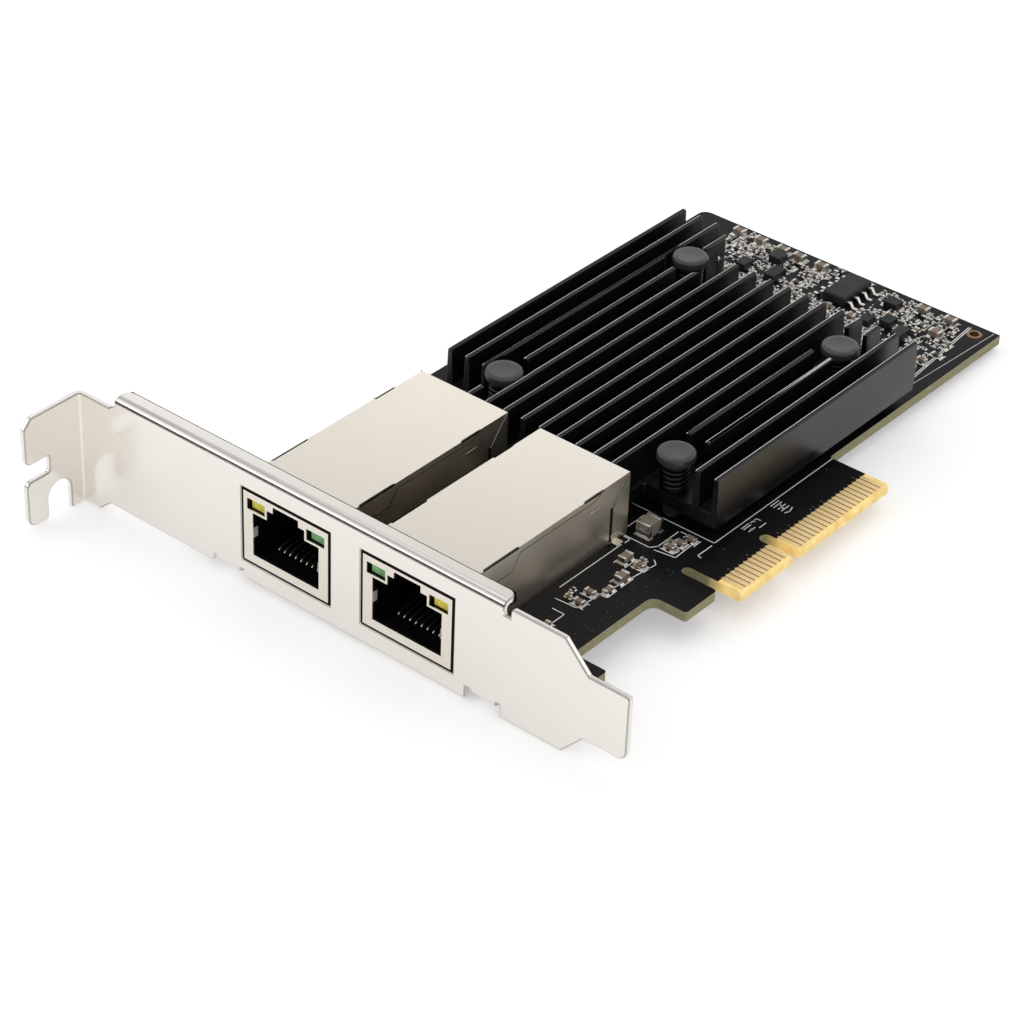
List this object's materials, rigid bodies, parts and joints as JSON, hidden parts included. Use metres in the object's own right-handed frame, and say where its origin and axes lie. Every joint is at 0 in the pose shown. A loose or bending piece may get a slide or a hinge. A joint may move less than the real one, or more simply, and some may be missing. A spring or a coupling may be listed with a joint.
{
  "type": "network interface card",
  "caption": "Plug-in network card: black board with gold edge contacts, metal bracket, sunk shielded jacks and a finned black cooler held by sprung push pins.",
  "frame": {"origin": "middle of the connector's key notch at the connector's outer edge, half way through the board's thickness", "axes": "+X into the host socket, +Y from the bracket towards the card's far end, +Z out of the component side"},
  "size_m": [0.0989, 0.1271, 0.0205],
  "materials": {
    "board_black": "satin solder mask over glass laminate",
    "gold_plating": "bright gold plating",
    "bracket_nickel": "satin nickel plating on steel",
    "screw_steel": "plain nickel plating",
    "shield_nickel": "bright nickel plating on thin sheet",
    "housing_black": "moulded, fine matt",
    "module_black": "moulded, matt",
    "tinned_lead": "tin plating",
    "light_yellow": "clear tinted plastic",
    "light_green": "clear tinted plastic",
    "cooler_black": "black anodised, extrusion lines",
    "pad_grey": "soft matt",
    "chip_black": "moulded epoxy, fine matt",
    "pin_black": "moulded nylon, fine grain",
    "spring_steel": "blackened spring wire",
    "crystal_can": "plated lid",
    "ceramic_tan": "fired ceramic",
    "ceramic_brown": "fired ceramic",
    "resistor_black": "glazed ceramic",
    "tinned_cap": "tin plating"
  },
  "bodies": {
    "root": {"board": "board_black", "edge_contacts_top": "gold_plating", "edge_contacts_bottom": "gold_plating", "bracket": "bracket_nickel", "bracket_screws": "screw_steel", "jack_1_shell": "shield_nickel", "jack_1_housing": "housing_black", "jack_1_contacts": "gold_plating", "jack_1_magnetics": "module_black", "jack_1_leads": "tinned_lead", "jack_1_light_left": "light_yellow", "jack_1_light_right": "light_green", "jack_2_shell": "shield_nickel", "jack_2_housing": "housing_black", "jack_2_contacts": "gold_plating", "jack_2_magnetics": "module_black", "jack_2_leads": "tinned_lead", "jack_2_light_left": "light_green", "jack_2_light_right": "light_yellow", "heat_sink": "cooler_black", "thermal_pad": "pad_grey", "controller_chip": "chip_black", "push_pin_1": "pin_black", "push_pin_spring_1": "spring_steel", "push_pin_2": "pin_black", "push_pin_spring_2": "spring_steel", "push_pin_3": "pin_black", "push_pin_spring_3": "spring_steel", "push_pin_4": "pin_black", "push_pin_spring_4": "spring_steel", "flash_chip": "chip_black", "flash_chip_leads": "tinned_lead", "regulator_chips": "chip_black", "regulator_leads": "tinned_lead", "crystal": "crystal_can", "tall_capacitor": "ceramic_tan", "tall_capacitor_ends": "tinned_cap", "large_capacitors": "ceramic_brown", "large_capacitor_ends": "tinned_cap", "small_capacitors": "ceramic_brown", "small_capacitor_ends": "tinned_cap", "resistors": "resistor_black", "resistor_ends": "tinned_cap"}
  },
  "joints": []
}
